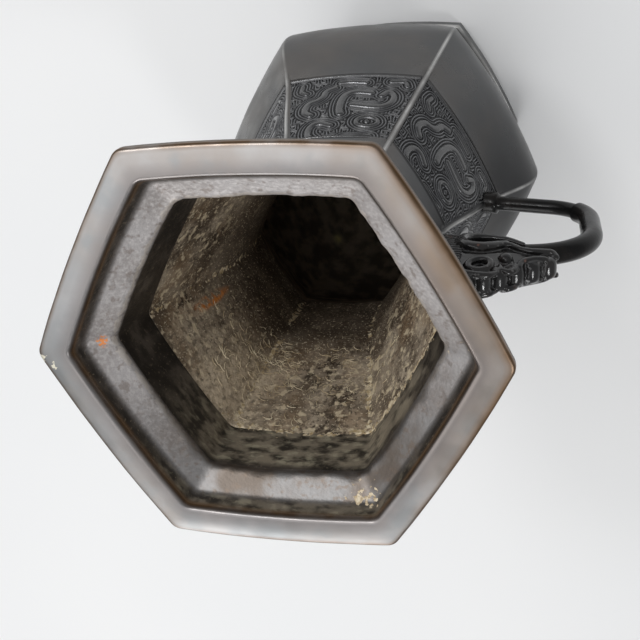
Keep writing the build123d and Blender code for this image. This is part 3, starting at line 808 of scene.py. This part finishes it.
mouth_finish, tree, shader = new_finish("mouth_metal")
flattened = (1, 1, 2)
flakes = between(tree, cloud(tree, 300, 9, flattened), 0.5, 0.68, 0.0, 0.6)
dark_skin = between(tree, cloud(tree, 210, 9, flattened), 0.4, 0.64, 0.0, 0.93)
wall = coats(
    tree,
    (0.026, 0.022, 0.019),
    ((110, 8, 0.38, 0.66), (0.1, 0.084, 0.07)),
    # Painted light on the lower side's walls, then pale flakes of patina.
    (times(tree, "lower", 0.85), (0.33, 0.285, 0.215)),
    (dark_skin, (0.028, 0.024, 0.02)),
    (times(tree, "lower", flakes), (0.5, 0.46, 0.34)),
    (times(tree, "tan", (190, 8, 0.35, 0.62)), (0.38, 0.33, 0.25)),
    ((1300, 3, 0.6, 0.72, 0.0, 0.6), (0.2, 0.165, 0.12)),
)
satin = coats(
    tree,
    (0.39, 0.378, 0.375),
    ((42, 5, 0.35, 0.66), (0.32, 0.286, 0.262)),
    ((110, 9, 0.47, 0.66, 0.0, 0.6), (0.27, 0.29, 0.3)),
    # Brown patina and painted shade on the lip's right side.
    (times(tree, "tinted", (55, 4, 0.3, 0.6, 0.4, 0.9)), (0.29, 0.2, 0.13)),
    # Bluish tone and painted shade on the lip's left and lower sides.
    (times(tree, "cool", (90, 8, 0.35, 0.65, 0.4, 0.9)), (0.262, 0.27, 0.275)),
    (times(tree, times(tree, "rust_edge", (70, 5, 0.35, 0.6, 0.3, 1.0)), 0.8), (0.28, 0.165, 0.085)),
    # Painted shade on the lip's inner half.
    (times(tree, "inner_half", 0.65), (0.2, 0.18, 0.175)),
)
# Darker silver for the ledge's lower side, partly painted shade.
shaded_silver = coats(
    tree,
    (0.215, 0.209, 0.206),
    ((70, 5, 0.38, 0.64), (0.14, 0.117, 0.1)),
    ((600, 6, 0.54, 0.68, 0.0, 0.6), (0.16, 0.125, 0.1)),
)
speckled = coats(
    tree,
    (0.3, 0.275, 0.265),
    ((60, 4, 0.35, 0.65), (0.4, 0.38, 0.378)),
    ((1100, 7, 0.4, 0.68, 0.0, 0.6), (0.52, 0.495, 0.485)),
    ((480, 9, 0.53, 0.68, 0.0, 0.65), (0.2, 0.165, 0.145)),
    # Wear and painted highlight along the ledge's inner edge.
    (times(tree, crust(tree, "bright", 420), 0.55), (0.52, 0.47, 0.42)),
    ("polished", shaded_silver),
)
chips = crust(tree, times(tree, "earth", (75, 3, 0.36, 0.6, 0.4, 1.0)), 760)
straw_earth = coats(tree, (0.45, 0.33, 0.18), ((900, 4, 0.35, 0.65), (0.76, 0.65, 0.47)))
stain = between(tree, times(tree, "orange", (1200, 8, 0.38, 0.58)), 0.1, 0.6)
colour = coats(
    tree,
    wall,
    ("ledge", speckled),
    ("lip", satin),
    (times(tree, "worn", (130, 5, 0.3, 0.6, 0.45, 1.0)), (0.13, 0.075, 0.036)),
    (chips, straw_earth),
    (stain, (0.72, 0.25, 0.07)),
    (crust(tree, "chalk", 900), (0.85, 0.8, 0.66)),
    ("outside", clouded(tree, patina_dark, patina_warm)),
)
metal = between(tree, most(tree, "lip", times(tree, "polished", "ledge")), 0, 1, 0.35, 0.92)
metal = times(tree, metal, between(tree, chips, 0, 1, 1, 0))
smooth = most(tree, "lip", "outside")
lumps = times(tree, most(tree, cloud(tree, 1000, 6), chips), between(tree, smooth, 0, 1, 1, 0.03))
lumps = times(tree, lumps, between(tree, "polished", 0, 1, 1, 0.5))
set_inputs(tree, shader, {
    "Base Color": colour,
    "Metallic": most(tree, metal, times(tree, "outside", 0.8)),
    "Roughness": most(tree, (160, 4, 0.3, 0.7, 0.3, 0.4), between(tree, smooth, 0, 1, 0.45, 0)),
    "Normal": grain(tree, lumps, 0.00014),
})
mouth.data.materials.append(mouth_finish)
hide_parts("mouth_rim")
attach(mouth, "root")

# Beast heads: cast apart and tenoned into two opposite corners of the neck, each biting a loop.
# A wedge skull with a comb of rolls, ringed eyes, cheek balls and scrolls, and a rolled lip round the jaws.
# The black patina is polished, with grey on the peaks as wear and painted highlight, a little red wear, and
# hollows painted darker as grime and painted shade.
loop_axis = 189.0
head_back, crown_reach, snout_reach, jaw_reach, back_lean = 27.0, 42.0, 66.0, 57.5, 0.244
head_width, snout_width, crest_width, jaw_width, chin_width = 10.8, 5.6, 4.2, 9.0, 6.12
crown_rise, snout_rise, snout_floor, jaw_drop, chin_drop = 27.0, 8.2, 3.6, 4.8, 0.5
roll_count, roll_radius, roll_half_width, voxel = 6, 2.95, 3.3, 0.24
lock_count, cheek_share = 12, 0.45
first_roll, last_roll = (42.1, 0, 214.0), (63.5, 0, 198.9)
ball_rings, ball_around = 9, 14
down = np.linspace(0.02, np.pi - 0.02, ball_rings)[:, None]
turn = np.linspace(2 * np.pi, 0, ball_around, endpoint=False)
ball_points = (np.sin(down) * np.cos(turn), np.sin(down) * np.sin(turn), np.cos(down) + 0 * turn)
ball_points = np.stack(ball_points, -1)


def block(form, sections):
    """Adds a closed block through outlines to a rough form, which is a list of points and a list of faces."""
    first, count = len(form[0]), len(sections[0])
    last = first + count * (len(sections) - 1)
    for outline in sections:
        form[0].extend(outline)
    for start in range(first, last, count):
        for i in range(count):
            after = (i + 1) % count
            form[1].append((start + i, start + after, start + count + after, start + count + i))
    form[1].append(tuple(range(first + count - 1, first - 1, -1)))
    form[1].append(tuple(range(last, last + count)))


def ball(form, centre, radii):
    """Adds an egg of metal to a head's rough form."""
    block(form, (ball_points * radii + centre).tolist())


def ridge(form, points, radii, count=10):
    """Adds a rounded ridge through points, with a radius at each."""
    path = smooth_path(points, count)
    size = np.interp(np.linspace(0, 1, len(path)), np.linspace(0, 1, len(radii)), radii)
    for centre, radius in zip(path, size):
        ball(form, centre, (radius,) * 3)


head = ([], [])
skull = []
for reach, width, rise, lean in (
    (head_back, head_width, crown_rise, back_lean),
    (crown_reach, head_width, crown_rise, 0),
    (snout_reach, snout_width, snout_rise, 0),
):
    floor, crest = loop_axis + snout_floor, loop_axis + rise
    cheek = floor + (crest - floor) * cheek_share
    half = [(width, floor), (width, cheek), (crest_width, crest)]
    outline = [(-width, floor), *half, (-crest_width, crest), (-width, cheek)]
    skull.append([(reach + lean * (z - floor), y / 2, z) for y, z in outline])
block(head, skull)
jaw_roof = loop_axis + snout_floor + 1
jaw = []
for reach, width, drop in ((head_back, jaw_width, jaw_drop), (jaw_reach, chin_width, chin_drop)):
    corners = ((-1, loop_axis - drop), (1, loop_axis - drop), (1, jaw_roof), (-1, jaw_roof))
    jaw.append([(reach, y * width / 2, z) for y, z in corners])
block(head, jaw)

around = np.linspace(0, 2 * np.pi, 17)
up, forward = np.sin(around), np.cos(around)
eye = np.column_stack((45.9 + 3.0 * forward, 4.1 - 0.7 * up, 208.2 + 2.4 * up - 0.5 * forward))
brow = [(41.2, 3.8, 212.6), (44.6, 3.1, 213.0), (48.2, 2.6, 212.2), (50.4, 2.6, 210.2)]
cheek_ball, cheek_size = (52.7, 3.6, 202.6), (2.1, 2.0, 2.1)
hook = [(51.4, 2.9, 206.4), (51.9, 2.7, 208.6), (53.6, 2.3, 209.0)]
hook += [(55.3, 2.4, 207.2), (54.2, 2.9, 206.0), (53.2, 2.8, 207.0)]
scroll = [(56.4, 2.5, 205.6), (57.0, 3.0, 203.4), (59.2, 3.1, 201.6)]
scroll += [(62.2, 2.9, 200.4), (63.6, 2.6, 200.2), (63.8, 2.3, 201.0)]
small_scroll = [(58.8, 2.6, 203.6), (60.6, 2.6, 202.2), (62.2, 2.3, 201.8)]
leaf = [(51.6, 5.0, 194.6), (54.0, 4.8, 194.8), (56.8, 4.4, 196.8), (59.4, 4.1, 197.2)]
leaf += [(62.0, 3.7, 196.6), (64.9, 3.2, 196.0), (66.2, 2.6, 197.6)]
rolled_lip = [(52.6, 5.0, 193.8), (50.2, 5.2, 195.8), (48.2, 5.4, 197.6), (45.4, 5.7, 199.3)]
rolled_lip += [(42.8, 5.9, 199.0), (40.9, 5.9, 196.8), (40.2, 5.7, 193.6), (41.2, 5.3, 190.0)]
rolled_lip += [(43.8, 5.0, 188.0), (48.0, 4.8, 187.8), (53.0, 4.6, 189.2), (57.2, 4.0, 191.4)]
lip_radii = (1.1, 1.5, 1.75, 1.9, 1.9, 1.85, 1.7, 1.4, 1.15, 1.0, 0.8)
crown = [(33.6, 1.5, 214.6), (38.0, 1.6, 215.1), (42.6, 1.6, 215.3)]
for side in (1, -1):
    mirror = (1, side, 1)
    ridge(head, eye * mirror, (1.1, 1.1), 6)
    ridge(head, np.multiply(brow, mirror), (0.9, 1.1, 1.1, 0.7))
    ball(head, np.multiply(cheek_ball, mirror), cheek_size)
    ridge(head, np.multiply(hook, mirror), (0.9, 1.0, 1.0, 0.9, 0.75))
    ridge(head, np.multiply(scroll, mirror), (0.9, 1.1, 1.1, 0.95, 0.7))
    ridge(head, np.multiply(small_scroll, mirror), (0.7, 0.8, 0.6))
    ridge(head, np.multiply(leaf, mirror), (1.2, 1.0, 0.95, 0.95, 1.05, 1.1, 0.9))
    ridge(head, np.multiply(rolled_lip, mirror), lip_radii, 12)
    for lock in range(lock_count):
        lift = 190.0 + 1.75 * lock
        fan = lift + 0.35 * (lock - 4)
        neck_end = (28.2 + 0.24 * max(0, fan - 196), 5.9, fan)
        strand = [(40.4, 5.7, lift), (35.6, 5.9, 0.5 * (lift + fan)), neck_end]
        ridge(head, np.multiply(strand, mirror), (0.5, 0.62, 0.5), 16)
    ridge(head, np.multiply(crown, mirror), (1.5, 1.5, 1.2), 12)
rough_head = bpy.data.meshes.new("rough_head")
rough_head.from_pydata(head[0], [], head[1])
head_form = new_object("head_form", rough_head)

# The comb's rolls repeat along the crest's slope, each a lying drum with round ends, so nodes place them.
comb, given = shape_tree("crest_comb", Start="Vector", End="Vector", Count="Int", Radius="Float", Width="Float")
drum = made(comb, "GeometryNodeMeshUVSphere", {"Segments": 32, "Rings": 20, "Radius": 1.0}, "Mesh")
place = made(comb, "GeometryNodeInputPosition", {})
place = add_node(comb, "ShaderNodeSeparateXYZ", {0: place}).outputs
full = reckon(comb, "POWER", reckon(comb, "ABSOLUTE", place["Y"]), 0.5)
full = times(comb, full, reckon(comb, "SIGN", place["Y"]))
squared = made(comb, "ShaderNodeCombineXYZ", {"X": place["X"], "Y": full, "Z": place["Z"]})
drum = made(comb, "GeometryNodeSetPosition", {"Geometry": drum, "Position": squared})
drum_size = {"X": given["Radius"], "Y": given["Width"], "Z": given["Radius"]}
drum_size = made(comb, "ShaderNodeCombineXYZ", drum_size)
drum = made(comb, "GeometryNodeTransform", {"Geometry": drum, "Scale": drum_size})
line = {"Count": given["Count"], "Start Location": given["Start"], "Offset": given["End"]}
line = made(comb, "GeometryNodeMeshLine", line, mode="END_POINTS")
rolls = made(comb, "GeometryNodeInstanceOnPoints", {"Points": line, "Instance": drum})
rolls = made(comb, "GeometryNodeRealizeInstances", {"Geometry": rolls})
rolls = add_node(comb, "GeometryNodeJoinGeometry", {"Geometry": rolls})
comb.links.new(given["Geometry"], rolls.inputs["Geometry"])
end_shape(comb, rolls.outputs[0], given["Material"])

handle_black, tree, shader = new_finish("handle_black")
peak = made(tree, "ShaderNodeNewGeometry", {}, "Pointiness")
red_wear = times(tree, between(tree, peak, 0.5, 0.56), (160, 3, 0.6, 0.7))
colour = coats(
    tree,
    (0.011, 0.0105, 0.0105),
    ((120, 5, 0.4, 0.7), (0.024, 0.021, 0.02)),
    # Wear and painted highlight: grey on the peaks.
    (between(tree, peak, 0.53, 0.63, 0.0, 0.6), (0.16, 0.155, 0.15)),
    (times(tree, red_wear, 0.7), (0.17, 0.055, 0.028)),
    # Grime and painted shade: near black in the hollows.
    (between(tree, peak, 0.4, 0.48, 0.9, 0.0), (0.004, 0.004, 0.004)),
)
set_inputs(tree, shader, {
    "Base Color": colour,
    "Specular IOR Level": 0.6,
    "Roughness": most(tree, (300, 5, 0.3, 0.7, 0.12, 0.24), between(tree, peak, 0.4, 0.48, 0.7, 0.0)),
    "Normal": grain(tree, cloud(tree, 900, 4), 0.00006),
})

head_form.data = node_shape(
    head_form,
    comb,
    Start=first_roll,
    End=last_roll,
    Count=roll_count,
    Radius=roll_radius,
    Width=roll_half_width,
    Material=handle_black,
)
closing = head_form.modifiers.new("closing", "REMESH")
closing.mode, closing.voxel_size = "VOXEL", voxel
softening = head_form.modifiers.new("softening", "SMOOTH")
softening.factor, softening.iterations = 0.5, 5
head_mesh = final_mesh(head_form)
bpy.data.objects.remove(head_form)
head_mesh.transform(Matrix.Scale(0.001, 4))
head_mesh.shade_smooth()
head_mesh.materials.clear()
head_mesh.materials.append(handle_black)


def both_sides(mesh, ending):
    """The right and the left object of a mesh, each with the name of its side."""
    for side, turn in (("right", 0), ("left", math.pi)):
        turned = mesh.copy()
        turned.transform(Matrix.Rotation(turn, 4, "Z"))
        yield side, new_object(f"{side}_{ending}", turned)


for name, beast in both_sides(head_mesh, "beast"):
    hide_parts(f"{name}_beast_head")
    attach(beast, "root")

# Loops: round bars bent to a tall ring, near black with a soft gloss, drawn along a line by nodes.
# They are thick where they leave the jaws and thinner from half way round the bend. A short tongue is left
# on the outside of that step, and a collar seats each end on the belly's ridge.
loop_reach, top_radius, straight, bend_radius, slope = 77.2, 19.0, 13.0, 16.0, 16.0
thick, thin, collar, tongue, step_angles = 3.2, 2.4, 3.6, 1.35, (36.2, 37.4)
jaw_end, seat = 45.5, (44.35, 135.52)
top_centre = (loop_reach - top_radius, loop_axis - top_radius)
bend_centre = (loop_reach - bend_radius, loop_axis - top_radius - straight)


def on_arc(centre, radius, angle):
    """Reach and height on an arc about a centre, at an angle in degrees."""
    angle = math.radians(angle)
    return centre[0] + radius * math.cos(angle), centre[1] + radius * math.sin(angle)


bar = [(jaw_end, loop_axis, thick), (top_centre[0] - 4, loop_axis, thick)]
bar += [(*on_arc(top_centre, top_radius, angle), thick) for angle in np.linspace(90, 0, 40)]
for angle in np.linspace(0, slope - 90, 40):
    bar.append((*on_arc(bend_centre, bend_radius, angle), np.interp(-angle, step_angles, (thick, thin))))
run_end = np.array(bar[-1][:2])
run_sizes = ((0.1, thin), (0.6, thin), (0.79, thin), (0.8, 3.0), (0.815, collar), (0.9, collar), (1.0, collar))
for share, size in run_sizes:
    bar.append((*(run_end + (np.array(seat) - run_end) * share), size))
tip = []
for angle, share in ((-35, 1), (-40, 1), (-45, 1), (-50, 1), (-55, 0.95), (-58, 0.7), (-59.5, 0.25)):
    tip.append((*on_arc(bend_centre, bend_radius + thick - tongue, angle), tongue * share))

bent_bar, given = shape_tree("bent_bar", Sides="Int")
profile = made(bent_bar, "GeometryNodeCurvePrimitiveCircle", {"Resolution": given["Sides"], "Radius": 0.001})
size = made(bent_bar, "GeometryNodeInputRadius", {}, "Radius")
drawn = {"Curve": given["Geometry"], "Profile Curve": profile, "Scale": size, "Fill Caps": True}
bars = made(bent_bar, "GeometryNodeCurveToMesh", drawn)
bars = made(bent_bar, "GeometryNodeSetShadeSmooth", {"Geometry": bars})
end_shape(bent_bar, made(bent_bar, "GeometryNodeRealizeInstances", {"Geometry": bars}), given["Material"])

loop_black, tree, shader = new_finish("loop_black")
set_inputs(tree, shader, {
    "Base Color": coats(tree, (0.006, 0.006, 0.006), ((150, 5, 0.4, 0.7), (0.014, 0.012, 0.011))),
    "Specular IOR Level": 0.2,
    "Roughness": share_of(tree, (300, 5, 0.3, 0.7, 0.18, 0.28)),
    "Normal": grain(tree, cloud(tree, 900, 4), 0.00005),
})
loop_curve = bpy.data.curves.new("loop_line", "CURVE")
loop_curve.dimensions = "3D"
for line in (bar, tip):
    spline = loop_curve.splines.new("POLY")
    spline.points.add(len(line) - 1)
    for point, (reach, height, size) in zip(spline.points, line):
        point.co = (reach * 0.001, 0, height * 0.001, 1)
        point.radius = size
loop_form = new_object("loop_form", loop_curve)
loop_mesh = node_shape(loop_form, bent_bar, Sides=40, Material=loop_black)
bpy.data.objects.remove(loop_form)
for name, loop in both_sides(loop_mesh, "ring_bar"):
    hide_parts(f"{name}_loop")
    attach(loop, "root")

# Solder: soft grey metal run into the three laps between foot, belly, neck and mouth.
# It fills the gaps of a third of a millimetre and keeps its shape; hardly any of it shows.
solder_grey, tree, shader = new_finish("solder_grey")
set_inputs(tree, shader, {
    "Base Color": coats(tree, (0.2, 0.195, 0.185), ((300, 4, 0.35, 0.65), (0.38, 0.37, 0.35))),
    "Metallic": 0.8,
    "Roughness": share_of(tree, (500, 3, 0.3, 0.7, 0.45, 0.65)),
})
for lap in ("mouth_solder", "neck_solder", "foot_solder"):
    redress(lap, solder_grey)

# Studio: a pale paper floor, a large soft light above, small lights behind and at the right, a front fill,
# and the camera, which looks down into the mouth from the side of the right handle, as the photograph does.
# Its places are in metres.
floor_mesh = bpy.data.meshes.new("paper_floor")
floor_mesh.from_pydata([(-3, -3, 0), (3, -3, 0), (3, 3, 0), (-3, 3, 0)], [], [(0, 1, 2, 3)])
floor = new_object("paper_floor", floor_mesh)
paper, tree, shader = new_finish("pale_paper")
set_inputs(tree, shader, {
    "Base Color": coats(tree, (0.78, 0.785, 0.79), ((3, 2, 0.3, 0.7), (0.81, 0.81, 0.81))),
    "Roughness": 0.8,
})
floor_mesh.materials.append(paper)


def soft_light(name, place, target, size, power):
    """A square soft light that faces a target."""
    light = bpy.data.lights.new(name, "AREA")
    light.size, light.energy = size, power
    lamp = new_object(name, light)
    lamp.location = place
    lamp.rotation_mode = "QUATERNION"
    lamp.rotation_quaternion = (Vector(target) - Vector(place)).to_track_quat("-Z", "Y")


soft_light("main_softbox", (-0.42, 0.2, 1.05), (0, 0, 0.2), 1.4, 7.6)
soft_light("key_light", (-0.3, 0.42, 0.9), (0, 0, 0.2), 0.16, 1.5)
soft_light("front_fill", (-0.25, -0.95, 0.72), (0, 0, 0.2), 0.7, 4.8)
soft_light("edge_light", (0.5, -0.35, 0.9), (0.06, 0, 0.2), 0.13, 1.2)
world = bpy.data.worlds.new("studio_air")
world.use_nodes = True
air = {"Color": (0.32, 0.325, 0.33, 1), "Strength": 1.0}
set_inputs(world.node_tree, world.node_tree.nodes["Background"], air)
bpy.context.scene.world = world
bpy.context.scene.view_settings.view_transform = "Standard"

camera_data = bpy.data.cameras.new("camera")
camera_data.sensor_width, camera_data.lens = 36.0, 50.3
camera_data.clip_start, camera_data.clip_end = 0.01, 20
camera = new_object("camera", camera_data)
camera_place = (0.05791, 0.08893, 0.43683)
camera_right, camera_up = Vector((0.97474, -0.06849, -0.2126)), Vector((-0.02361, 0.91489, -0.40301))
camera_back = Vector((0.22211, 0.39784, 0.89016))
turned = Matrix((camera_right, camera_up, camera_back)).transposed().to_4x4()
camera.matrix_world = Matrix.Translation(camera_place) @ turned
bpy.context.scene.camera = camera
